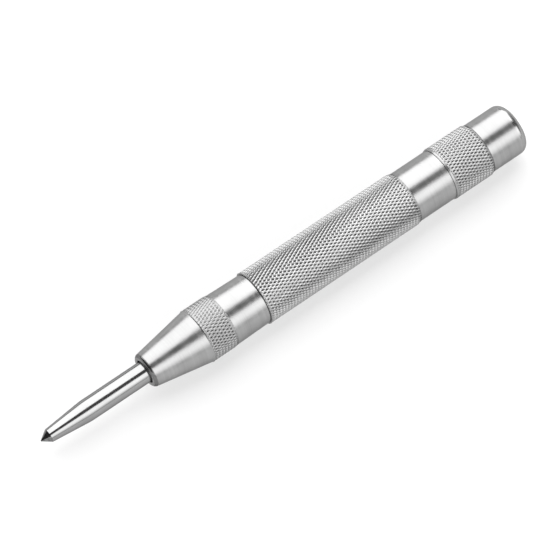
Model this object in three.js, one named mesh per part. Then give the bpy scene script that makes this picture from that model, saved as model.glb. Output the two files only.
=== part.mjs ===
// Automatic centre punch: a spring-loaded marking tool that is pushed, not struck.
//
// The point and plunger slide back into the nose. They push the tilted release pin, which lifts
// the hammer against the main spring. Near the end of the stroke the pin is straightened, the
// hammer drops over it and strikes the plunger. Turning the cap sets the spring's preload.
//
// Lengths are in millimetres. The tool lies on its side: its axis runs along +X, from the point
// to the cap, and +Z is up. Each profile is given as radius and station, where a station is the
// distance from the point's apex.

import * as THREE from 'three';

// Driving dimensions.
const LENGTH = 130;
const KNURL_RADIUS = 6.6;
const GAP = 0.3;
const SIDES = 24;
const ARC_STEPS = 3;

// Stations of the outside, from the apex.
const NOSE_FACE = 27.8;
const CONE_END = 42.1;
const NOSE_RING_END = 48.8;
const BARREL_START = 57.7;
const GRIP_END = 99.6;
const CAP_START = 109.8;
const CAP_RING_END = 120.1;

// Radii of the outside.
const POINT_RADIUS = 2.55;
const POINT_CONE_RADIUS = 1.6;
const CONE_FRONT_RADIUS = 4.11;
const CONE_REAR_RADIUS = 6.46;
const NOSE_BAND_FRONT_RADIUS = 6.38;
const NOSE_BAND_REAR_RADIUS = 6.2;
const NECK_RADIUS = 6.23;
const CAP_RING_RADIUS = 6.55;
const CAP_END_RADIUS = 6.15;
const LIP_FILLET = 0.65;
const CAP_FILLET = 2;

// The point: a ground cone, a taper, the plain rod, and a shank that is pressed into the plunger.
const POINT_CONE_LENGTH = 2.2;
const POINT_TAPER_END = 12;
const POINT_SHANK_RADIUS = 1.6;
const POINT_SHANK_LENGTH = 6.7;

// Threaded joints, drawn as plain cylinders at the crests.
const SPIGOT_RADIUS = 5;
const THREAD_BORE = SPIGOT_RADIUS + GAP;

// Bores.
const POINT_CLEARANCE = 0.25;
const NOSE_BORE = POINT_RADIUS + POINT_CLEARANCE;
const NOSE_CHAMBER = 3.9;
const NOSE_SHOULDER = 34;
const NOSE_SPIGOT_LENGTH = 7.3;
const WEB_BORE = 2.9;
const WEB_LENGTH = 5;
const HAMMER_BORE = 4.8;
const CAP_SPIGOT_LENGTH = 11.3;
const CAP_BORE = 4.05;
const CAP_BORE_END = 124.4;

// The moving pieces inside.
const PLUNGER_RADIUS = 3.5;
const PLUNGER_LENGTH = 12;
const PIN_PIVOT = 43.7;
const PIN_TILT = 0.048;
const PIN_BASE_BELOW_PIVOT = 0.8;
const PIN_BASE_RADIUS = 2;
const PIN_BASE_LENGTH = 2.7;
const PIN_STEM_RADIUS = 1.6;
const PIN_STEM_END = 60.5;
const PIN_SHOULDER_LENGTH = 1;
const PIN_TIP_RADIUS = 1.1;
const PIN_TIP_CLEARANCE = 0.1;
const PIN_SOCKET_START = PIN_PIVOT - 1.2;
const HAMMER_RADIUS = 4.5;
const HAMMER_LENGTH = 16;
const HAMMER_HOLE_RADIUS = 1.45;
const HAMMER_HOLE_DEPTH = 12;
const BOSS_RADIUS = 2.1;
const BOSS_LENGTH = 2;
const SEAT_RADIUS = 3.75;
const SEAT_THICKNESS = 2;

// The springs: the radius of the wire's centre line at each end, the turns, and the wire's
// diameter. The first and the last turn are close wound, CLOSE_PITCH wires apart.
const RETURN_SPRING = { startRadius: 2.9, endRadius: 3.3, turns: 10, wire: 0.6 };
const MAIN_SPRING = { startRadius: 3.1, endRadius: 3.1, turns: 14, wire: 1.3 };
const CLOSE_PITCH = 1.15;
const STEPS_PER_TURN = 12;

// Stations that follow from the rest.
const POINT_END = NOSE_SHOULDER + POINT_SHANK_LENGTH;
const NOSE_END = BARREL_START + NOSE_SPIGOT_LENGTH;
const WEB_START = NOSE_END + GAP;
const WEB_END = WEB_START + WEB_LENGTH;
const BARREL_END = CAP_START - GAP;
const HAMMER_START = WEB_END + GAP;
const HAMMER_END = HAMMER_START + HAMMER_LENGTH;
const CAP_SPIGOT_START = CAP_START - CAP_SPIGOT_LENGTH;
const SEAT_START = CAP_BORE_END - GAP - SEAT_THICKNESS;
const PLUNGER_START = NOSE_SHOULDER + GAP;
const PLUNGER_END = PLUNGER_START + PLUNGER_LENGTH;

const STEEL = { color: 0xb4b5b7, roughness: 0.35, metalness: 1 };
const POLISHED = { color: 0xd2d3d6, roughness: 0.12, metalness: 1 };
const HARDENED = { color: 0x77797d, roughness: 0.4, metalness: 1 };
const SPRING_STEEL = { color: 0x8c8f94, roughness: 0.3, metalness: 1 };

const tool = new THREE.Group();
tool.rotation.z = -Math.PI / 2;
tool.position.set(-LENGTH / 2, 0, KNURL_RADIUS);

function addPiece(name, geometry, finish) {
  const mesh = new THREE.Mesh(geometry, new THREE.MeshStandardMaterial(finish));
  mesh.name = name;
  tool.add(mesh);
  return mesh;
}

// A turned solid with SIDES flats, one of them facing straight down. The flats touch the true
// circle, so the corners stand just outside it.
function turned(path) {
  const outward = 1 / Math.cos(Math.PI / SIDES);
  const profile = path.getPoints(ARC_STEPS).map((p) => new THREE.Vector2(p.x * outward, p.y));
  return new THREE.LatheGeometry(profile, SIDES, Math.PI / SIDES);
}

// A profile of straight lines through [radius, station] corners.
function lines(...corners) {
  const path = new THREE.Path();
  path.moveTo(...corners[0]);
  for (const corner of corners.slice(1)) {
    path.lineTo(...corner);
  }
  return path;
}

// A helix about the tool's axis whose first and last turns are close wound, as a ground spring's.
class SpringPath extends THREE.Curve {
  constructor({ start, end, startRadius, endRadius, turns, wire }) {
    super();
    this.start = start + wire / 2;
    this.end = end - wire / 2;
    this.radii = [startRadius, endRadius];
    this.turns = turns;
    this.closePitch = wire * CLOSE_PITCH;
  }

  station(turn) {
    const openTurns = this.turns - 2;
    const openLength = this.end - this.start - 2 * this.closePitch;
    const first = Math.min(turn, 1) * this.closePitch;
    const last = Math.max(turn - this.turns + 1, 0) * this.closePitch;
    const open = THREE.MathUtils.clamp(turn - 1, 0, openTurns) / openTurns;
    return this.start + first + open * openLength + last;
  }

  getPoint(t) {
    const angle = 2 * Math.PI * this.turns * t;
    const radius = THREE.MathUtils.lerp(...this.radii, t);
    return new THREE.Vector3(
      radius * Math.cos(angle), this.station(this.turns * t), radius * Math.sin(angle),
    );
  }
}

function coiled(shape) {
  const path = new SpringPath(shape);
  const section = new THREE.Shape().absarc(0, 0, shape.wire / 2, 0, 2 * Math.PI);
  return new THREE.ExtrudeGeometry(section, {
    extrudePath: path,
    steps: shape.turns * STEPS_PER_TURN,
    curveSegments: ARC_STEPS,
    bevelEnabled: false,
  });
}

function punchTip() {
  return turned(lines(
    [0, 0],
    [POINT_CONE_RADIUS, POINT_CONE_LENGTH],
    [POINT_RADIUS, POINT_TAPER_END],
    [POINT_RADIUS, NOSE_SHOULDER],
    [POINT_SHANK_RADIUS, NOSE_SHOULDER],
    [POINT_SHANK_RADIUS, POINT_END],
    [0, POINT_END],
  ));
}

// The plunger has a socket for the point's shank in front and one for the release pin behind.
function plunger() {
  const shankSocket = POINT_SHANK_RADIUS + GAP;
  const pinSocket = PIN_BASE_RADIUS + 2 * GAP;
  return turned(lines(
    [0, POINT_END + GAP],
    [shankSocket, POINT_END + GAP],
    [shankSocket, PLUNGER_START],
    [PLUNGER_RADIUS, PLUNGER_START],
    [PLUNGER_RADIUS, PLUNGER_END],
    [pinSocket, PLUNGER_END],
    [pinSocket, PIN_SOCKET_START],
    [0, PIN_SOCKET_START],
  ));
}

// The nose is one turned piece: rounded lip, cone, knurled ring, plain band and threaded spigot.
function noseCone() {
  const lipStation = NOSE_FACE + LIP_FILLET;
  const slope = Math.atan2(CONE_REAR_RADIUS - CONE_FRONT_RADIUS, CONE_END - lipStation);
  const lipRadius = CONE_FRONT_RADIUS - LIP_FILLET * Math.cos(slope);
  const path = lines([NOSE_BORE, NOSE_FACE], [lipRadius, NOSE_FACE]);
  path.absarc(lipRadius, lipStation, LIP_FILLET, -Math.PI / 2, -slope, false);
  path.lineTo(CONE_REAR_RADIUS, CONE_END);
  path.lineTo(KNURL_RADIUS, CONE_END);
  path.lineTo(KNURL_RADIUS, NOSE_RING_END);
  path.lineTo(NOSE_BAND_FRONT_RADIUS, NOSE_RING_END);
  path.lineTo(NOSE_BAND_REAR_RADIUS, BARREL_START - GAP);
  path.lineTo(SPIGOT_RADIUS, BARREL_START - GAP);
  path.lineTo(SPIGOT_RADIUS, NOSE_END);
  path.lineTo(NOSE_CHAMBER, NOSE_END);
  path.lineTo(NOSE_CHAMBER, NOSE_SHOULDER);
  path.lineTo(NOSE_BORE, NOSE_SHOULDER);
  path.lineTo(NOSE_BORE, NOSE_FACE);
  return turned(path);
}

// The barrel is threaded at both ends, and its inner web stops the hammer.
function barrel() {
  const capThreadStart = CAP_SPIGOT_START - GAP;
  return turned(lines(
    [THREAD_BORE, BARREL_START],
    [KNURL_RADIUS, BARREL_START],
    [KNURL_RADIUS, GRIP_END],
    [NECK_RADIUS, GRIP_END],
    [NECK_RADIUS, BARREL_END],
    [THREAD_BORE, BARREL_END],
    [THREAD_BORE, capThreadStart],
    [HAMMER_BORE, capThreadStart],
    [HAMMER_BORE, WEB_END],
    [WEB_BORE, WEB_END],
    [WEB_BORE, WEB_START],
    [THREAD_BORE, WEB_START],
    [THREAD_BORE, BARREL_START],
  ));
}

function adjustingCap() {
  const filletRadius = CAP_END_RADIUS - CAP_FILLET;
  const path = lines(
    [CAP_BORE, CAP_SPIGOT_START],
    [SPIGOT_RADIUS, CAP_SPIGOT_START],
    [SPIGOT_RADIUS, CAP_START],
    [CAP_RING_RADIUS, CAP_START],
    [CAP_RING_RADIUS, CAP_RING_END],
    [CAP_END_RADIUS, CAP_RING_END],
    [CAP_END_RADIUS, LENGTH - CAP_FILLET],
  );
  path.absarc(filletRadius, LENGTH - CAP_FILLET, CAP_FILLET, 0, Math.PI / 2, false);
  path.lineTo(0, LENGTH);
  path.lineTo(0, CAP_BORE_END);
  path.lineTo(CAP_BORE, CAP_BORE_END);
  path.lineTo(CAP_BORE, CAP_SPIGOT_START);
  return turned(path);
}

function hammer() {
  return turned(lines(
    [0, HAMMER_START + HAMMER_HOLE_DEPTH],
    [HAMMER_HOLE_RADIUS, HAMMER_START + HAMMER_HOLE_DEPTH],
    [HAMMER_HOLE_RADIUS, HAMMER_START],
    [HAMMER_RADIUS, HAMMER_START],
    [HAMMER_RADIUS, HAMMER_END],
    [BOSS_RADIUS, HAMMER_END],
    [BOSS_RADIUS, HAMMER_END + BOSS_LENGTH],
    [0, HAMMER_END + BOSS_LENGTH],
  ));
}

function springSeat() {
  return turned(lines(
    [0, SEAT_START - BOSS_LENGTH],
    [BOSS_RADIUS, SEAT_START - BOSS_LENGTH],
    [BOSS_RADIUS, SEAT_START],
    [SEAT_RADIUS, SEAT_START],
    [SEAT_RADIUS, SEAT_START + SEAT_THICKNESS],
    [0, SEAT_START + SEAT_THICKNESS],
  ));
}

// The release pin is drawn from its pivot, because it leans there.
function releasePin() {
  const base = -PIN_BASE_BELOW_PIVOT;
  const shoulder = PIN_STEM_END - PIN_PIVOT;
  const end = WEB_END - PIN_TIP_CLEARANCE - PIN_PIVOT;
  return turned(lines(
    [0, base],
    [PIN_BASE_RADIUS, base],
    [PIN_BASE_RADIUS, base + PIN_BASE_LENGTH],
    [PIN_STEM_RADIUS, base + PIN_BASE_LENGTH],
    [PIN_STEM_RADIUS, shoulder],
    [PIN_TIP_RADIUS, shoulder + PIN_SHOULDER_LENGTH],
    [PIN_TIP_RADIUS, end],
    [0, end],
  ));
}

function returnSpring() {
  return coiled({ start: PLUNGER_END + GAP, end: WEB_START - GAP, ...RETURN_SPRING });
}

function mainSpring() {
  return coiled({ start: HAMMER_END + GAP, end: SEAT_START - GAP, ...MAIN_SPRING });
}

addPiece('punch_tip', punchTip(), POLISHED);
addPiece('plunger', plunger(), HARDENED);
addPiece('nose_cone', noseCone(), STEEL);
addPiece('return_spring', returnSpring(), SPRING_STEEL);
addPiece('barrel', barrel(), STEEL);
addPiece('hammer', hammer(), HARDENED);
addPiece('main_spring', mainSpring(), SPRING_STEEL);
addPiece('spring_seat', springSeat(), HARDENED);
addPiece('adjusting_cap', adjustingCap(), STEEL);

const pin = addPiece('release_pin', releasePin(), HARDENED);
pin.position.y = PIN_PIVOT;
pin.rotation.x = PIN_TILT;

export default tool;
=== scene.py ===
"""Automatic centre punch, lying on a pale studio floor.

Every piece is turned steel or coiled wire, so the pieces are rings of points about the tool's
axis. Stations are millimetres from the apex of the point; the frame says where the apex and the
axis are. Angles about the axis start straight up and grow towards -Y.
"""

import math

import bpy
import numpy as np
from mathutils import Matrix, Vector


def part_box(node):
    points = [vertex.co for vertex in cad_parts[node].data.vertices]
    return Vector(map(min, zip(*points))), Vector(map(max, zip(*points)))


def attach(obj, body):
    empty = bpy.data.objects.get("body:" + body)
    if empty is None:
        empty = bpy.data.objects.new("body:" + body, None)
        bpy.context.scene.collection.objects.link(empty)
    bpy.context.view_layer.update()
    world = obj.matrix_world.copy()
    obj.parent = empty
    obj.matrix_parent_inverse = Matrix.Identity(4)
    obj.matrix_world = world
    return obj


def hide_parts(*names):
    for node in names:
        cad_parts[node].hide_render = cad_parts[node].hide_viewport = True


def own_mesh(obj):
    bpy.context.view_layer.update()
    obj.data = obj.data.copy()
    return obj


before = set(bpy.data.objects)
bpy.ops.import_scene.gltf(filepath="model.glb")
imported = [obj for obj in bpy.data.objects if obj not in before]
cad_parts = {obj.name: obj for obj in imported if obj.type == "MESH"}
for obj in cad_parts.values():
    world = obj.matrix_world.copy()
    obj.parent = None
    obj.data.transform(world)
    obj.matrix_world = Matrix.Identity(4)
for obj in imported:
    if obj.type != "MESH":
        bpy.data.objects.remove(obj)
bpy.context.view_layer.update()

MM = 0.001

# From the frame: the apex, the axis, the outside radii and the length.
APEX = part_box("punch_tip")[0].x
BARREL_LOW, BARREL_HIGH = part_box("barrel")
AXIS_Z = (BARREL_LOW.z + BARREL_HIGH.z) / 2
GRIP_RADIUS = (BARREL_HIGH.z - BARREL_LOW.z) / 2 / MM
LENGTH = (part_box("adjusting_cap")[1].x - APEX) / MM
CAP_RADIUS = (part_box("adjusting_cap")[1].z - AXIS_Z) / MM


def station(x):
    """The distance from the apex, in mm, of a place on the frame's X axis."""
    return (x - APEX) / MM


BARREL_START = station(BARREL_LOW.x)
NOSE_FACE = station(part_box("nose_cone")[0].x)
NOSE_END = station(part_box("nose_cone")[1].x)
CAP_SPIGOT_START = station(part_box("adjusting_cap")[0].x)
HAMMER_START = station(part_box("hammer")[0].x)
HAMMER_END = station(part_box("hammer")[1].x)
PLUNGER_START = station(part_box("plunger")[0].x)
PLUNGER_END = station(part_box("plunger")[1].x)
TIP_END = station(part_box("punch_tip")[1].x)
SEAT_START = station(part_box("spring_seat")[0].x)
SEAT_END = station(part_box("spring_seat")[1].x)

# Outside stations and radii, in mm. The barrel and the cap meet at the joint face, and each
# stops short of it by half of a fine parting line.
CONE_END = 42.1
NOSE_RING_END = 48.8
GRIP_END = 99.6
JOINT_FACE = 109.25
HALF_PARTING = 0.015
CAP_START = 109.8
CAP_RING_END = 120.1
ROD_RADIUS = 2.55
NECK_RADIUS = 6.23
CAP_END_RADIUS = 6.15

# Inside, in mm: the gap between pieces that touch or run on the real tool, the web between the
# two springs, the bosses that the main spring sits over, and the seat's disc behind it.
GAP = 0.3
WEB_START = 65.3
WEB_END = 70.3
BOSS_RADIUS = 2.1
BOSS_LENGTH = 2
SEAT_DISC = 2

# The pitch of a spring's close-wound end turns, in wire thicknesses.
CLOSE_PITCH = 1.15

# The diamond knurl, in mm: grooves of each family around the tool, a diamond's length along the
# axis, the depth of a crossing, the size of the round pits, their share of the depth, and how
# much of that share they lose where only one wheel has bitten.
KNURL_STARTS = 50
KNURL_LENGTH = 1.64
KNURL_DEPTH = 0.46
PIT_LENGTH = 0.18
PIT_WIDTH = 0.24
PIT_SHARE = 0.5
PIT_LOSS = 0.5

# One knurling wheel bites deeper on one side: the angle where the wheels are even, its drift for
# each mm along, the share of the tool's length where the drift is nil, and how much depth moves.
WHEEL_SIDE = math.radians(22.7)
WHEEL_DRIFT = math.radians(0.65)
WHEEL_SQUARE = 0.6
WHEEL_REACH = 0.4

# How unevenly the knurl is rolled or worn, as shares of its depth, the side where it is faint,
# and the rings over which it runs out at its ends, with how far in the first ring already is.
SLOW_WEAR = 0.05
QUICK_WEAR = 0.02
BEVEL_WEAR = 0.7
FAINT_SIDE = math.radians(330)
RUN_OUT_RINGS = 2
RUN_OUT_LEAD = 0.6

# Columns of the knurled meshes for each groove and in all, and their twist for each mm along.
KNURL_CUTS = 5
COLUMNS = KNURL_STARTS * KNURL_CUTS
KNURL_TWIST = 0.0023

# The threads, in mm: crest radius, pitch and depth, the steepness and width of a tooth, and the
# rings for each pitch and for the run-out at each end.
THREAD_CREST = 5.0
THREAD_PITCH = 1.0
THREAD_DEPTH = 0.5
TOOTH_SLOPE = 2.6
TOOTH_FLAT = 0.25
THREAD_RINGS = 9
THREAD_FADE = 5

# The other meshes: columns of a plain turned piece, points in a turn of a spring, sides of its
# wire, the turn between the points of a fillet, and the angles above which an edge is sharp.
FINE = 96
SPRING_STEPS = 32
WIRE_SIDES = 12
ARC_STEP = math.radians(14)
TURNED_SHARP = math.radians(32)
WIRE_SHARP = math.radians(40)


# ---------------------------------------------------------------- rings and turned pieces

class Ring:
    """A ring of points about the axis. Its radius is one number, or one for each column."""

    def __init__(self, x, radius, offset=0.0, turn=0.0):
        self.x = x
        self.radius = radius
        self.offset = offset
        self.turn = turn

    def is_pole(self):
        return np.ndim(self.radius) == 0 and self.radius < 1e-6

    def mean(self):
        return float(np.mean(self.radius))

    def points(self, columns):
        if self.is_pole():
            return np.array([[self.x, 0.0, 0.0]])
        share = (np.arange(columns) + self.offset) / columns
        angle = 2 * math.pi * share + self.turn
        radius = self.radius * np.ones(columns)
        return np.stack([self.x * np.ones(columns), -radius * np.sin(angle), radius * np.cos(angle)], 1)


def corner_arc(before, corner, after, fillet):
    """The points of a fillet that rounds a profile's corner."""
    towards = (before - corner) / np.linalg.norm(before - corner)
    away = (after - corner) / np.linalg.norm(after - corner)
    opening = math.acos(max(-1.0, min(1.0, float(towards @ away))))
    middle = (towards + away) / np.linalg.norm(towards + away)
    centre = corner + middle * fillet / math.sin(opening / 2)
    reach = fillet / math.tan(opening / 2)
    first = corner + towards * reach - centre
    last = corner + away * reach - centre
    steps = max(2, math.ceil((math.pi - opening) / ARC_STEP))
    sweep = math.pi - opening
    shares = np.arange(steps + 1) / steps
    weights = [(math.sin((1 - s) * sweep), math.sin(s * sweep)) for s in shares]
    return [centre + (a * first + b * last) / math.sin(sweep) for a, b in weights]


def outline(*corners, closed=False):
    """The rings of a profile of (station, radius, fillet) corners, with rings near each corner."""
    spots = [np.array(c[:2], float) for c in corners]
    fillets = [c[2] if len(c) > 2 else 0 for c in corners]
    path = []
    for i, (spot, fillet) in enumerate(zip(spots, fillets)):
        inner = closed or 0 < i < len(spots) - 1
        if fillet and inner:
            path += corner_arc(spots[i - 1], spot, spots[(i + 1) % len(spots)], fillet)
        else:
            path.append(spot)
    support = 0.1
    rings = [path[0]]
    for here, there in zip(path, path[1:] + (path[:1] if closed else [])):
        length = np.linalg.norm(there - here)
        if length > 4 * support:
            rings.append(here + (there - here) * support / length)
            rings.append(there - (there - here) * support / length)
        rings.append(there)
    if closed:
        rings.pop()
    return [Ring(x, max(r, 0.0)) for x, r in rings]


def join_rings(first, second, base, next_base, columns):
    """Faces between two rings, and the share of a turn that each of their corners stands at."""
    j = np.arange(columns)
    k = (j + 1) % columns
    a, b = first.offset, second.offset
    if first.is_pole():
        faces = np.stack([base + 0 * j, next_base + k, next_base + j], 1)
        shares = np.stack([j + 0.5, j + 1 + b, j + b], 1)
        return [(faces, shares, (0, 1, 1))]
    if second.is_pole():
        faces = np.stack([base + j, base + k, next_base + 0 * j], 1)
        shares = np.stack([j + a, j + 1 + a, j + 0.5], 1)
        return [(faces, shares, (0, 0, 1))]
    if a == b:
        faces = np.stack([base + j, base + k, next_base + k, next_base + j], 1)
        shares = np.stack([j + a, j + 1 + a, j + 1 + b, j + b], 1)
        return [(faces, shares, (0, 0, 1, 1))]
    if a < b:
        low = np.stack([base + j, base + k, next_base + j], 1)
        low_shares = np.stack([j + a, j + 1 + a, j + b], 1)
        high = np.stack([base + k, next_base + k, next_base + j], 1)
        high_shares = np.stack([j + 1 + a, j + 1 + b, j + b], 1)
        return [(low, low_shares, (0, 0, 1)), (high, high_shares, (0, 1, 1))]
    low = np.stack([base + j, base + k, next_base + k], 1)
    low_shares = np.stack([j + a, j + 1 + a, j + 1 + b], 1)
    high = np.stack([base + j, next_base + k, next_base + j], 1)
    high_shares = np.stack([j + a, j + 1 + b, j + b], 1)
    return [(low, low_shares, (0, 0, 1)), (high, high_shares, (0, 1, 1))]


def ring_mesh(name, rings, columns, closed):
    """A mesh through the rings in turn. A closed profile ends where it began."""
    clouds = [ring.points(columns) for ring in rings]
    bases = np.cumsum([0] + [len(c) for c in clouds])
    steps = [
        math.hypot(b.x - a.x, b.mean() - a.mean()) + 1e-6
        for a, b in zip(rings, rings[1:] + rings[:1])
    ]
    travel = np.cumsum([0.0] + steps)
    total = travel[-1] if closed else travel[-2]
    faces, uvs = [], []
    for i in range(len(rings) if closed else len(rings) - 1):
        n = (i + 1) % len(rings)
        for part, shares, ends in join_rings(rings[i], rings[n], bases[i], bases[n], columns):
            faces += part.tolist()
            height = np.array([travel[i + e] / total for e in ends])
            pair = np.stack([shares / (columns + 1), np.broadcast_to(height, shares.shape)], 2)
            uvs.append(pair.reshape(-1, 2))
    mesh = bpy.data.meshes.new(name)
    points = np.concatenate(clouds) * MM + [APEX, 0, AXIS_Z]
    mesh.from_pydata(points.tolist(), [], faces)
    layer = mesh.uv_layers.new(name="OFBake")
    layer.data.foreach_set("uv", np.concatenate(uvs).astype(np.float32).ravel())
    mesh.shade_smooth()
    mesh.set_sharp_from_angle(angle=TURNED_SHARP)
    return mesh


def add_piece(name, mesh, node, body, slot, *materials):
    """Links a finished mesh as a piece that stands for a CAD node and rides on its body."""
    piece = bpy.data.objects.new(name, mesh)
    bpy.context.scene.collection.objects.link(piece)
    for material in materials:
        mesh.materials.append(material)
    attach(piece, body)
    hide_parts(node)
    return piece


# ---------------------------------------------------------------- knurls and threads

def wheel_lean(angle, x, bias):
    """How much deeper one knurling wheel bites than the other, from -1 to 1, at a place."""
    side = np.sin(angle - WHEEL_SIDE + WHEEL_DRIFT * (x - LENGTH * WHEEL_SQUARE))
    return np.clip(bias * side, -1, 1)


def knurl_cut(rising, falling, lean):
    """The depth of a knurl, from 0 on the crests to 1 in the round pits where grooves cross.
    The phases say how far, in grooves, a place is from a groove of each of the two families."""
    rising = rising - np.round(rising)
    falling = falling - np.round(falling)
    first = (1 - 2 * abs(rising)) * (0.5 - WHEEL_REACH * lean)
    second = (1 - 2 * abs(falling)) * (0.5 + WHEEL_REACH * lean)
    along = (rising - falling) / 2 * KNURL_LENGTH
    around = (rising + falling) / 2 * KNURL_LENGTH / 2
    pit = np.exp(-(along / PIT_LENGTH) ** 2 - (around / PIT_WIDTH) ** 2)
    share = PIT_SHARE * (1 - PIT_LOSS * abs(lean))
    return (1 - share) * (first + second) + share * pit


def wear(angle, x, seed):
    """A smooth, uneven depth of a rolled knurl, about 1: one slow wave, and one with three
    crests around. The seed sets where they start."""
    slow = math.sin(seed + 0.11 * x) * np.cos(angle + 1.7 * seed)
    quick = np.sin(3 * angle + 0.35 * x + seed)
    return 1 + SLOW_WEAR * slow + QUICK_WEAR * quick


def knurl(start, end, radius, seed, bias, bevel, drop, faint=0.0):
    """Rings of a diamond knurl. Every other ring is turned by half a column, so that the mesh's
    edges run along the grooves. Two grooves add up where they cross, so the pits are deepest there.
    bias is how uneven the two wheels are, faint thins the knurl on one side, and the last bevel
    mm fall away by drop."""
    half = KNURL_LENGTH / KNURL_CUTS / 2
    count = 2 * round((end - start) / half / 2)
    rings = []
    column = np.arange(COLUMNS)
    for k in range(count + 1):
        x = start + (end - start) * k / count
        odd = k % 2
        rising = ((column + (odd + k) // 2) % KNURL_CUTS) / KNURL_CUTS
        falling = ((column + (odd - k) // 2) % KNURL_CUTS) / KNURL_CUTS
        angle = 2 * math.pi * (column + odd / 2) / COLUMNS
        cut = knurl_cut(rising, falling, wheel_lean(angle, x, bias))
        from_end = min(k, count - k) + RUN_OUT_LEAD
        run_out = min(1.0, from_end / RUN_OUT_RINGS)
        depth = KNURL_DEPTH * wear(angle, x, seed) * run_out
        depth = depth * (1 - faint * np.clip(np.cos(angle - FAINT_SIDE), 0, 1) ** 2)
        fall = drop * max(0.0, 1 - (end - x) / bevel)
        depth = depth * (1 - BEVEL_WEAR * fall / drop)
        rings.append(Ring(x, radius - fall - depth * cut, odd / 2, KNURL_TWIST * (x - start)))
    twist = rings[-1].turn
    return rings, twist


def thread(start, end):
    """Rings of a right-handed screw thread."""
    count = round((end - start) / THREAD_PITCH * THREAD_RINGS)
    angle = 2 * math.pi * np.arange(COLUMNS) / COLUMNS
    rings = []
    for k in range(count + 1):
        x = start + (end - start) * k / count
        phase = (x / THREAD_PITCH - angle / (2 * math.pi)) % 1
        tooth = np.clip(abs(phase - 0.5) * TOOTH_SLOPE - TOOTH_FLAT, 0, 1)
        fade = min(1.0, k / THREAD_FADE, (count - k) / THREAD_FADE)
        rings.append(Ring(x, THREAD_CREST - THREAD_DEPTH * (1 - tooth) * fade))
    return rings


def turned_on(rings, twist):
    """The same rings, turned about the axis to follow on from a twisted knurl."""
    for ring in rings:
        ring.turn += twist
    return rings


# ---------------------------------------------------------------- materials

class Nodes:
    """A node tree with short ways to add nodes, link them and do sums."""

    def __init__(self, tree):
        self.tree = tree
        tree.nodes.clear()

    def add(self, kind, **settings):
        node = self.tree.nodes.new(kind)
        for name, value in settings.items():
            setattr(node, name, value)
        return node

    def link(self, source, target):
        if isinstance(source, (int, float)):
            target.default_value = source
        else:
            self.tree.links.new(source, target)

    def math(self, operation, first, second=0.0, third=0.0):
        node = self.add("ShaderNodeMath", operation=operation)
        for socket, value in zip(node.inputs, (first, second, third)):
            self.link(value, socket)
        return node.outputs[0]

    def smooth(self, value, low, high, to_low=0.0, to_high=1.0):
        """A smooth step from to_low to to_high as value goes from low to high."""
        node = self.add("ShaderNodeMapRange", interpolation_type="SMOOTHSTEP")
        self.link(value, node.inputs["Value"])
        node.inputs["From Min"].default_value = low
        node.inputs["From Max"].default_value = high
        node.inputs["To Min"].default_value = to_low
        node.inputs["To Max"].default_value = to_high
        return node.outputs["Result"]

    def scaled(self, vector, x, y, z):
        """A place whose pattern repeats about x, y and z times in a metre along each axis."""
        node = self.add("ShaderNodeMapping")
        node.inputs["Scale"].default_value = (x, y, z)
        self.link(vector, node.inputs["Vector"])
        return node.outputs[0]

    def noise(self, vector, detail, roughness=0.5):
        node = self.add("ShaderNodeTexNoise")
        node.inputs["Scale"].default_value = 1.0
        node.inputs["Detail"].default_value = detail
        node.inputs["Roughness"].default_value = roughness
        self.link(vector, node.inputs["Vector"])
        return node.outputs["Fac"]

    def colours(self, share, *stops):
        """A ramp through (place, grey or colour) stops."""
        node = self.add("ShaderNodeValToRGB")
        ramp = node.color_ramp
        while len(ramp.elements) < len(stops):
            ramp.elements.new(0.5)
        for element, (place, colour) in zip(ramp.elements, stops):
            element.position = place
            element.color = (*colour, 1)
        self.link(share, node.inputs["Fac"])
        return node.outputs["Color"]

    def bump(self, height, distance):
        """Normals of marks whose full height is a distance in metres."""
        node = self.add("ShaderNodeBump")
        node.inputs["Strength"].default_value = 1.0
        node.inputs["Distance"].default_value = distance
        self.link(height, node.inputs["Height"])
        return node.outputs["Normal"]


def grey(value, tint=0.0):
    """A grey, made warmer by a tint."""
    return (value * (1 + tint), value, value * (1 - tint))


def new_material(name):
    """A metal, with its node tree, its shader and the place on the piece."""
    material = bpy.data.materials.new(name)
    material.use_nodes = True
    nodes = Nodes(material.node_tree)
    output = nodes.add("ShaderNodeOutputMaterial")
    shader = nodes.add("ShaderNodeBsdfPrincipled")
    nodes.link(shader.outputs[0], output.inputs["Surface"])
    shader.inputs["Metallic"].default_value = 1.0
    place = nodes.add("ShaderNodeTexCoord").outputs["Object"]
    return material, nodes, shader, place


def turned_steel(name, base, roughness, anisotropy=0.45):
    """Lathe-turned steel: fine marks run round the axis, so that highlights spread along it."""
    streak = 0.16
    material, nodes, shader, place = new_material(name)
    marks = nodes.noise(nodes.scaled(place, 2600, 40, 40), detail=3, roughness=0.6)
    bands = nodes.noise(nodes.scaled(place, 420, 25, 25), detail=2)
    blotches = nodes.noise(nodes.scaled(place, 90, 160, 160), detail=3)
    both = nodes.math("MULTIPLY_ADD", marks, 0.5, nodes.math("MULTIPLY", bands, 0.5))
    colour = nodes.colours(
        nodes.math("MULTIPLY_ADD", blotches, 0.3, nodes.math("MULTIPLY", both, 0.7)),
        (0.30, grey(base * (1 - streak))),
        (0.70, grey(base * (1 + streak))),
    )
    nodes.link(colour, shader.inputs["Base Color"])
    rough = nodes.smooth(both, 0.3, 0.7, roughness * 0.85, roughness * 1.15)
    nodes.link(rough, shader.inputs["Roughness"])
    shader.inputs["Anisotropic"].default_value = anisotropy
    shader.inputs["Anisotropic Rotation"].default_value = 0.25
    shader.inputs["Specular Tint"].default_value = (*grey(0.55), 1)
    tangent = nodes.add("ShaderNodeTangent", direction_type="RADIAL", axis="X")
    nodes.link(tangent.outputs[0], shader.inputs["Tangent"])
    nodes.link(nodes.bump(both, 0.005 * MM), shader.inputs["Normal"])
    return material


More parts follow.
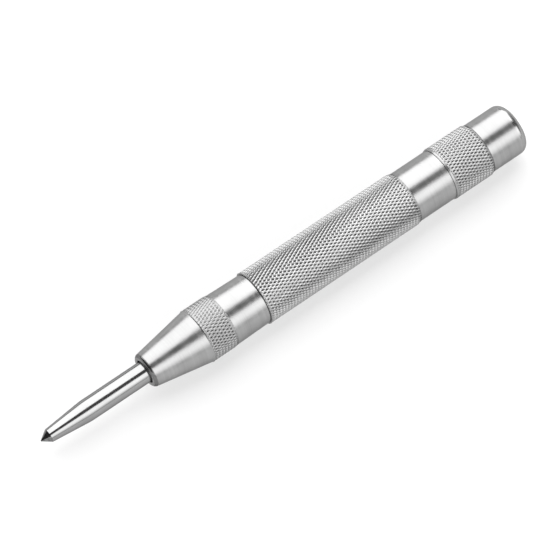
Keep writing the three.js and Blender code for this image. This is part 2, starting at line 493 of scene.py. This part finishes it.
def polished_steel():
    """The rod: bright, with very fine marks round it and faint smears."""
    material, nodes, shader, place = new_material("polished_rod_steel")
    marks = nodes.noise(nodes.scaled(place, 3000, 60, 60), detail=2)
    smears = nodes.noise(nodes.scaled(place, 120, 300, 300), detail=3)
    nodes.link(nodes.colours(smears, (0.3, grey(0.28)), (0.7, grey(0.33))), shader.inputs["Base Color"])
    nodes.link(nodes.smooth(marks, 0.3, 0.7, 0.10, 0.18), shader.inputs["Roughness"])
    shader.inputs["Specular Tint"].default_value = (*grey(0.4), 1)
    nodes.link(nodes.bump(marks, 0.0012 * MM), shader.inputs["Normal"])
    return material


def ground_point_steel():
    """The point: darker hard steel with grinding marks."""
    material, nodes, shader, place = new_material("ground_point_steel")
    marks = nodes.noise(nodes.scaled(place, 3500, 500, 500), detail=3)
    nodes.link(nodes.colours(marks, (0.3, grey(0.13)), (0.7, grey(0.25))), shader.inputs["Base Color"])
    nodes.link(nodes.smooth(marks, 0.3, 0.7, 0.10, 0.2), shader.inputs["Roughness"])
    nodes.link(nodes.bump(marks, 0.002 * MM), shader.inputs["Normal"])
    return material


def knurled_steel(name, radius, crest, roughness):
    """Rolled knurl: bright worn crests, and grooves painted darker with depth, darkest in the pits:
    partly oxide and oil, partly painted shade of the deep grooves and pits.
    """
    material, nodes, shader, place = new_material(name)
    parts = nodes.add("ShaderNodeSeparateXYZ")
    nodes.link(place, parts.inputs[0])
    side = nodes.math("POWER", parts.outputs["Y"], 2.0)
    rise = nodes.math("POWER", nodes.math("SUBTRACT", parts.outputs["Z"], AXIS_Z), 2.0)
    from_axis = nodes.math("SQRT", nodes.math("ADD", side, rise))
    height = nodes.smooth(from_axis, (radius - KNURL_DEPTH) * MM, radius * MM)
    grain = nodes.noise(nodes.scaled(place, 900, 900, 900), detail=3)
    level = nodes.math("MULTIPLY_ADD", grain, 0.35, nodes.math("MULTIPLY", height, 0.75))
    # Colour by depth below the crests: the dark grooves and pits are partly oxide and oil and partly
    # painted shade.
    colour = nodes.colours(
        level, (0.2, grey(crest * 0.16)), (0.48, grey(crest * 0.75)), (0.8, grey(crest)),
    )
    nodes.link(colour, shader.inputs["Base Color"])
    nodes.link(nodes.smooth(level, 0.1, 1.0, roughness + 0.12, roughness), shader.inputs["Roughness"])
    shader.inputs["Specular Tint"].default_value = (*grey(0.1), 1)
    nodes.link(nodes.bump(grain, 0.008 * MM), shader.inputs["Normal"])
    return material


def oiled_steel(name, base, roughness):
    """The hardened pieces and springs inside: even steel under a film of oil."""
    material, nodes, shader, place = new_material(name)
    film = nodes.noise(nodes.scaled(place, 300, 300, 300), detail=3)
    marks = nodes.noise(nodes.scaled(place, 2500, 80, 80), detail=2)
    nodes.link(nodes.colours(film, (0.3, grey(base * 0.85, 0.02)), (0.7, grey(base * 1.15))),
               shader.inputs["Base Color"])
    rough = nodes.smooth(marks, 0.3, 0.7, roughness * 0.8, roughness * 1.2)
    nodes.link(rough, shader.inputs["Roughness"])
    nodes.link(nodes.bump(marks, 0.003 * MM), shader.inputs["Normal"])
    return material


TURNED = turned_steel("turned_steel", 0.34, 0.33)
ROUNDED = turned_steel("rounded_edge_steel", 0.34, 0.2, anisotropy=0.0)
# The lip's rounding: darker steel than the rest of the nose, painted shade that stands in for the dark
# reflection in the rounded lip.
LIP_PAINTED_SHADE = turned_steel("nose_lip_painted_shade_steel", 0.19, 0.27, anisotropy=0.0)
POLISHED = polished_steel()
GROUND = ground_point_steel()
KNURLED = knurled_steel("knurled_steel", GRIP_RADIUS, 0.43, 0.36)
CAP_KNURLED = knurled_steel("cap_knurled_steel", CAP_RADIUS, 0.395, 0.38)
NOSE_KNURLED = knurled_steel("nose_knurled_steel", GRIP_RADIUS, 0.34, 0.45)
HARDENED = oiled_steel("hardened_steel", 0.3, 0.35)
SPRING = oiled_steel("spring_steel", 0.38, 0.28)


# ---------------------------------------------------------------- pieces

def paint_between(mesh, slot_index, low, high, inner_radius=0.0):
    """Gives the faces between two stations, outside a radius, another of the mesh's materials."""
    for face in mesh.polygons:
        x = station(face.center.x)
        radius = math.hypot(face.center.y, face.center.z - AXIS_Z) / MM
        if low < x < high and radius > inner_radius:
            face.material_index = slot_index


def punch_tip():
    """Ground point with a slightly blunt apex, long taper, rod, and shank inside the plunger."""
    blunt_length, blunt_radius = 0.06, 0.09
    point_length, point_radius = 2.2, 1.6
    taper_end, taper_blend = 12.0, 14.0
    shank = 1.6
    shoulder = PLUNGER_START - GAP
    rings = outline(
        (0, 0), (blunt_length, blunt_radius, 0.05), (point_length, point_radius, 0.06),
        (taper_end, ROD_RADIUS, taper_blend), (shoulder, ROD_RADIUS, 0.15),
        (shoulder, shank, 0.1), (TIP_END, shank, 0.3), (TIP_END, 0),
    )
    mesh = ring_mesh("punch_tip", rings, FINE, False)
    add_piece("punch_tip_rod", mesh, "punch_tip", "punch", "polished_steel", POLISHED, GROUND)
    paint_between(mesh, 1, -1, point_length)


def plunger():
    """A cylinder with a hole for the punch's shank and a wide socket for the release pin."""
    shank_hole, body, socket = 1.9, 3.5, 2.6
    shank_floor, socket_floor = TIP_END + GAP, 42.5
    rings = outline(
        (shank_floor, 0), (shank_floor, shank_hole), (PLUNGER_START, shank_hole, 0.15),
        (PLUNGER_START, body, 0.35), (PLUNGER_END, body, 0.35), (PLUNGER_END, socket, 0.2),
        (socket_floor, socket, 0.4), (socket_floor, 0),
    )
    mesh = ring_mesh("plunger", rings, FINE, False)
    add_piece("plunger_body", mesh, "plunger", "punch", "hardened_steel", HARDENED)


def nose_cone():
    """Rounded lip, cone, knurled ring, plain band and threaded spigot, all one turned piece."""
    step, bore, rod_hole, hole_edge = 34.0, 3.9, 2.8, 0.33
    lip, lip_rounding, lip_reach = 4.02, 0.98, 0.82
    cone_radius, chamfer_radius, ring_start = 6.47, 6.57, CONE_END + 0.17
    band_middle, band_blend = 51.5, 6.0
    shoulder = BARREL_START - 0.06
    undercut_end = BARREL_START + 0.8
    face = outline(
        (step, bore), (step, rod_hole, 0.1), (NOSE_FACE, rod_hole, hole_edge),
        (NOSE_FACE, lip, lip_rounding), (CONE_END - 0.02, cone_radius, 0.1),
        (CONE_END + 0.1, chamfer_radius, 0.03), (CONE_END + 0.14, GRIP_RADIUS),
    )
    ring, twist = knurl(
        ring_start, NOSE_RING_END, GRIP_RADIUS, seed=2.0, bias=0.6, faint=0.45, bevel=0.8, drop=0.2,
    )
    band = turned_on(outline(
        (NOSE_RING_END + 0.03, 6.39), (band_middle, 6.33, band_blend), (shoulder, 6.2, 0.06),
        (shoulder, 4.6, 0.1), (undercut_end, 4.55),
    ), twist)
    screw = turned_on(thread(undercut_end + 0.1, NOSE_END - 0.5), twist)
    inside = turned_on(outline((NOSE_END, 4.7), (NOSE_END, bore)), twist)
    rings = face + ring + band + screw + inside
    mesh = ring_mesh("nose_cone", rings, COLUMNS, True)
    slots = (TURNED, NOSE_KNURLED, LIP_PAINTED_SHADE)
    add_piece("nose_cone_shell", mesh, "nose_cone", "barrel", "brushed_steel", *slots)
    paint_between(mesh, 1, ring_start - 0.01, NOSE_RING_END, 6.2)
    # The rounded lip gets the darker steel: painted shade.
    paint_between(mesh, 2, NOSE_FACE + 0.1, NOSE_FACE + lip_reach, rod_hole + 0.1)


def barrel():
    """Knurled grip and plain neck, bored and threaded from both ends, with a web inside."""
    thread_bore, rear_bore_start, spring_bore, pin_hole = 5.3, 98.2, 4.8, 2.9
    edge_radius, chamfer_radius, grip_start = 6.48, 6.58, BARREL_START + 0.12
    back_face = JOINT_FACE - HALF_PARTING
    front = outline(
        (WEB_START, thread_bore, 0.1), (BARREL_START, thread_bore, 0.1),
        (BARREL_START, edge_radius, 0.03),
    )
    front += [Ring(BARREL_START + 0.08, chamfer_radius)]
    grip, twist = knurl(
        grip_start, GRIP_END - 0.2, GRIP_RADIUS, seed=0.4, bias=1.4, bevel=0.9, drop=0.3,
    )
    back = turned_on(outline(
        (GRIP_END - 0.17, NECK_RADIUS), (back_face, NECK_RADIUS, 0.02), (back_face, thread_bore, 0.2),
        (rear_bore_start, thread_bore, 0.1), (rear_bore_start, spring_bore, 0.1),
        (WEB_END, spring_bore, 0.1), (WEB_END, pin_hole, 0.2), (WEB_START, pin_hole, 0.2),
    ), twist)
    mesh = ring_mesh("barrel", front + grip + back, COLUMNS, True)
    add_piece("barrel_tube", mesh, "barrel", "barrel", "brushed_steel", TURNED, KNURLED)
    paint_between(mesh, 1, grip_start - 0.02, GRIP_END - 0.18, 6.0)


def adjusting_cap():
    """Hollow threaded spigot, knurled ring and plain end with a rounded edge."""
    bore, bore_floor, core, end_rounding = 4.05, 124.4, 4.5, 2.0
    front_face = JOINT_FACE + HALF_PARTING
    edge_radius, chamfer_radius, ring_start = 6.4, 6.52, JOINT_FACE + 0.49
    inside = outline(
        (bore_floor, 0), (bore_floor, bore, 0.3), (CAP_SPIGOT_START, bore, 0.15),
        (CAP_SPIGOT_START, core, 0.1), (CAP_SPIGOT_START + 0.5, core),
    )
    screw = thread(CAP_SPIGOT_START + 0.6, CAP_START - 1.2)
    rim = outline(
        (CAP_START - 1.1, core), (front_face, core, 0.15), (front_face, edge_radius, 0.02),
        (JOINT_FACE + 0.42, chamfer_radius), (JOINT_FACE + 0.46, CAP_RADIUS - 0.04),
    )
    ring, twist = knurl(
        ring_start, CAP_RING_END, CAP_RADIUS, seed=4.1, bias=0.6, bevel=0.8, drop=0.34,
    )
    end = turned_on(outline(
        (CAP_RING_END + 0.03, CAP_END_RADIUS), (LENGTH, CAP_END_RADIUS, end_rounding), (LENGTH, 0),
    ), twist)
    mesh = ring_mesh("adjusting_cap", inside + screw + rim + ring + end, COLUMNS, False)
    slots = (TURNED, CAP_KNURLED, ROUNDED)
    add_piece("adjusting_cap_shell", mesh, "adjusting_cap", "adjusting_cap", "brushed_steel", *slots)
    paint_between(mesh, 1, ring_start - 0.02, CAP_RING_END, 6.0)
    paint_between(mesh, 2, LENGTH - end_rounding, LENGTH + 1)


def hammer():
    """A cylinder with a blind hole in front for the pin, and a boss behind for the spring."""
    pin_hole, hole_depth, body = 1.45, 12, 4.5
    floor_of_hole, shoulder = HAMMER_START + hole_depth, HAMMER_END - BOSS_LENGTH
    rings = outline(
        (floor_of_hole, 0), (floor_of_hole, pin_hole), (HAMMER_START, pin_hole, 0.2),
        (HAMMER_START, body, 0.4), (shoulder, body, 0.4), (shoulder, BOSS_RADIUS, 0.2),
        (HAMMER_END, BOSS_RADIUS, 0.5), (HAMMER_END, 0),
    )
    mesh = ring_mesh("hammer", rings, FINE, False)
    add_piece("hammer_body", mesh, "hammer", "hammer", "hardened_steel", HARDENED)


def spring_seat():
    """A disc behind the main spring, with a boss inside it."""
    disc = 3.75
    shoulder = SEAT_START + BOSS_LENGTH
    rings = outline(
        (SEAT_START, 0), (SEAT_START, BOSS_RADIUS, 0.5), (shoulder, BOSS_RADIUS, 0.2),
        (shoulder, disc, 0.3), (SEAT_END, disc, 0.3), (SEAT_END, 0),
    )
    mesh = ring_mesh("spring_seat", rings, FINE, False)
    add_piece("spring_seat_disc", mesh, "spring_seat", "spring_seat", "hardened_steel", HARDENED)


def release_pin():
    """The stepped pin leans in the plunger's socket at rest. Stations here are from its pivot."""
    pivot, tilt = 43.7, 0.048
    start, foot_end, neck_start, step, end = -0.8, 1.9, 16.8, 17.8, 26.5
    foot, stem, needle = 2.0, 1.6, 1.1
    rings = outline(
        (start, 0), (start, foot, 0.5), (foot_end, foot, 0.3), (foot_end, stem, 0.2),
        (neck_start, stem, 0.3), (step, needle, 0.3), (end, needle, 0.3), (end, 0),
    )
    mesh = ring_mesh("release_pin", rings, FINE, False)
    place = Vector((APEX + pivot * MM, 0, AXIS_Z))
    for vertex in mesh.vertices:
        along, up = vertex.co.x - APEX, vertex.co.z - AXIS_Z
        vertex.co.x = place.x + along * math.cos(tilt) - up * math.sin(tilt)
        vertex.co.z = place.z + along * math.sin(tilt) + up * math.cos(tilt)
    add_piece("release_pin_body", mesh, "release_pin", "release_pin", "hardened_steel", HARDENED)


def spring_points(start, end, start_radius, end_radius, turns, wire):
    """The centre line of a compression spring with a close-wound turn at each end."""
    close = wire * CLOSE_PITCH
    first, last = start + wire / 2, end - wire / 2
    open_length = last - first - 2 * close
    points = []
    for i in range(turns * SPRING_STEPS + 1):
        turn = i / SPRING_STEPS
        share = turn / turns
        middle = min(max(turn - 1, 0), turns - 2) / (turns - 2)
        x = first + min(turn, 1) * close + middle * open_length + max(turn - turns + 1, 0) * close
        radius = start_radius + (end_radius - start_radius) * share
        angle = 2 * math.pi * turn
        points.append((x, radius * math.cos(angle), radius * math.sin(angle)))
    return np.array(points)


def wire_mesh(name, centre, wire):
    """A round wire along a centre line about the axis, closed at both ends."""
    sides = WIRE_SIDES
    along = np.gradient(centre, axis=0)
    along /= np.linalg.norm(along, axis=1)[:, None]
    outward = centre * [0, 1, 1]
    outward /= np.linalg.norm(outward, axis=1)[:, None]
    outward -= along * (outward * along).sum(1)[:, None]
    outward /= np.linalg.norm(outward, axis=1)[:, None]
    across = np.cross(along, outward)
    angle = 2 * math.pi * np.arange(sides) / sides
    cosine, sine = np.cos(angle)[None, :, None], np.sin(angle)[None, :, None]
    circle = cosine * outward[:, None] + sine * across[:, None]
    points = (centre[:, None] + circle * wire / 2).reshape(-1, 3)
    count = len(centre)
    faces = []
    for i in range(count - 1):
        here, there = i * sides, (i + 1) * sides
        for j in range(sides):
            k = (j + 1) % sides
            faces.append((here + j, here + k, there + k, there + j))
    faces.append(tuple(reversed(range(sides))))
    faces.append(tuple((count - 1) * sides + j for j in range(sides)))
    mesh = bpy.data.meshes.new(name)
    mesh.from_pydata((points * MM + [APEX, 0, AXIS_Z]).tolist(), [], faces)
    mesh.shade_smooth()
    mesh.set_sharp_from_angle(angle=WIRE_SHARP)
    return mesh


def springs():
    """The light return spring in the nose and the strong main spring behind the hammer."""
    light_wire, light_turns, light_start, light_end, light_keep = 0.6, 10, 2.9, 3.3, 0.45
    centre = spring_points(
        PLUNGER_END + GAP, NOSE_END, light_start, light_end, light_turns, light_wire,
    )
    mesh = wire_mesh("return_spring", centre, light_wire)
    light = add_piece("return_spring_coil", mesh, "return_spring", "barrel", "spring_steel", SPRING)
    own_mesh(light)

    main_wire, main_turns, main_radius, main_keep = 1.3, 14, 3.1, 0.71
    start = HAMMER_END - BOSS_LENGTH + GAP
    end = SEAT_END - SEAT_DISC - GAP
    centre = spring_points(start, end, main_radius, main_radius, main_turns, main_wire)
    mesh = wire_mesh("main_spring", centre, main_wire)
    strong = add_piece("main_spring_coil", mesh, "main_spring", "spring_seat", "spring_steel", SPRING)
    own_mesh(strong)


for make in (
    punch_tip, plunger, nose_cone, barrel, adjusting_cap, hammer, spring_seat, release_pin, springs,
):
    make()


# ---------------------------------------------------------------- floor, light and camera

# The floor: its size in metres, its grey, and a glow that keeps it near white.
FLOOR_SIZE = 6.0
FLOOR_GREY = 0.38
FLOOR_GLOW = 0.54

# The studio's light: levels of the horizon, of the room and of its darker side beyond the point,
# and the soft edges of the boxes at the point's side and at the cap's side.
HORIZON_LEVEL = 0.7
ROOM_LEVEL = 0.16
POINT_SIDE_LEVEL = 0.09
POINT_SIDE_EDGE = 0.1
CAP_SIDE_EDGE = 0.04


def floor():
    """A plain pale sheet under the tool."""
    mesh = bpy.data.meshes.new("floor")
    half = FLOOR_SIZE / 2
    corners = [(-half, -half, 0), (half, -half, 0), (half, half, 0), (-half, half, 0)]
    mesh.from_pydata(corners, [], [(0, 1, 2, 3)])
    plane = bpy.data.objects.new("studio_floor", mesh)
    bpy.context.scene.collection.objects.link(plane)
    material = bpy.data.materials.new("studio_floor")
    material.use_nodes = True
    shader = material.node_tree.nodes["Principled BSDF"]
    shader.inputs["Base Color"].default_value = (*grey(FLOOR_GREY), 1)
    shader.inputs["Emission Color"].default_value = (1, 1, 1, 1)
    shader.inputs["Emission Strength"].default_value = FLOOR_GLOW
    shader.inputs["Roughness"].default_value = 0.9
    shader.inputs["Specular IOR Level"].default_value = 0.1
    mesh.materials.append(material)


def studio_light():
    """Two long soft boxes along the tool, one each side of a dark gap above it, a low box beyond
    the point and a pale horizon. x, y and z are the direction that the light comes from."""
    world = bpy.data.worlds.new("studio")
    bpy.context.scene.world = world
    world.use_nodes = True
    nodes = Nodes(world.node_tree)
    output = nodes.add("ShaderNodeOutputWorld")
    background = nodes.add("ShaderNodeBackground")
    nodes.link(background.outputs[0], output.inputs["Surface"])
    parts = nodes.add("ShaderNodeSeparateXYZ")
    nodes.link(nodes.add("ShaderNodeTexCoord").outputs["Generated"], parts.inputs[0])
    x, y, z = parts.outputs
    radians = math.radians
    angle = nodes.math("ARCTAN2", y, z)

    def box(low, low_edge, high, high_edge, x_low, x_high, level):
        """A lit box between two angles, in degrees about the X axis from straight up towards +Y,
        each with its soft edge, and between two reaches along the X axis."""
        rise = nodes.smooth(angle, radians(low - low_edge), radians(low + low_edge))
        fall = nodes.smooth(angle, radians(high - high_edge), radians(high + high_edge), 1.0, 0.0)
        left = nodes.smooth(x, x_low - POINT_SIDE_EDGE, x_low + POINT_SIDE_EDGE)
        right = nodes.smooth(x, x_high - CAP_SIDE_EDGE, x_high + CAP_SIDE_EDGE, 1.0, 0.0)
        across = nodes.math("MULTIPLY", rise, fall)
        along = nodes.math("MULTIPLY", left, right)
        return nodes.math("MULTIPLY", nodes.math("MULTIPLY", across, along), level)

    far = box(low=-1, low_edge=3, high=74, high_edge=3, x_low=-0.4, x_high=0.78, level=4.0)
    near = box(low=-78, low_edge=24, high=-33, high_edge=3, x_low=-0.4, x_high=0.78, level=3.6)
    beyond = box(low=-82, low_edge=12, high=-63, high_edge=6, x_low=-1.2, x_high=-0.42, level=2.4)
    boxes = nodes.math("ADD", nodes.math("ADD", far, near), beyond)
    horizon = nodes.smooth(z, 0.05, 0.3, HORIZON_LEVEL, 0.0)
    room = nodes.smooth(x, -0.6, -0.42, POINT_SIDE_LEVEL, ROOM_LEVEL)
    surroundings = nodes.math("ADD", horizon, room)
    nodes.link(nodes.math("MAXIMUM", boxes, surroundings), background.inputs["Strength"])


# The camera looks at the middle of the tool, a little to one side: its direction, its distance in
# metres, its lens in mm, and how far in metres it aims to the right of the middle and above it.
AZIMUTH = math.radians(-37.0)
ELEVATION = math.radians(62.3)
DISTANCE = 1.1
LENS = 327.0
SENSOR_WIDTH = 36.0
AIM_RIGHT = -0.00114
AIM_UP = 0.0012


def camera():
    """A long lens that looks down on the tool from its near side, with the point at the left."""
    data = bpy.data.cameras.new("camera")
    data.lens = LENS
    data.sensor_width = SENSOR_WIDTH
    data.clip_start = 0.01
    data.clip_end = 50.0
    eye = bpy.data.objects.new("camera", data)
    bpy.context.scene.collection.objects.link(eye)
    towards = Vector((
        math.cos(ELEVATION) * math.sin(AZIMUTH),
        -math.cos(ELEVATION) * math.cos(AZIMUTH),
        math.sin(ELEVATION),
    ))
    turn = towards.to_track_quat("Z", "Y")
    right = turn @ Vector((1, 0, 0))
    up = turn @ Vector((0, 1, 0))
    middle = Vector((APEX + LENGTH * MM / 2, 0, AXIS_Z))
    aim = middle + right * AIM_RIGHT + up * AIM_UP
    eye.location = aim + towards * DISTANCE
    eye.rotation_mode = "QUATERNION"
    eye.rotation_quaternion = turn
    bpy.context.scene.camera = eye


floor()
studio_light()
camera()
bpy.context.scene.view_settings.view_transform = "Standard"


def corners(bounds):
    return [list(map(float, corner)) for corner in bounds]
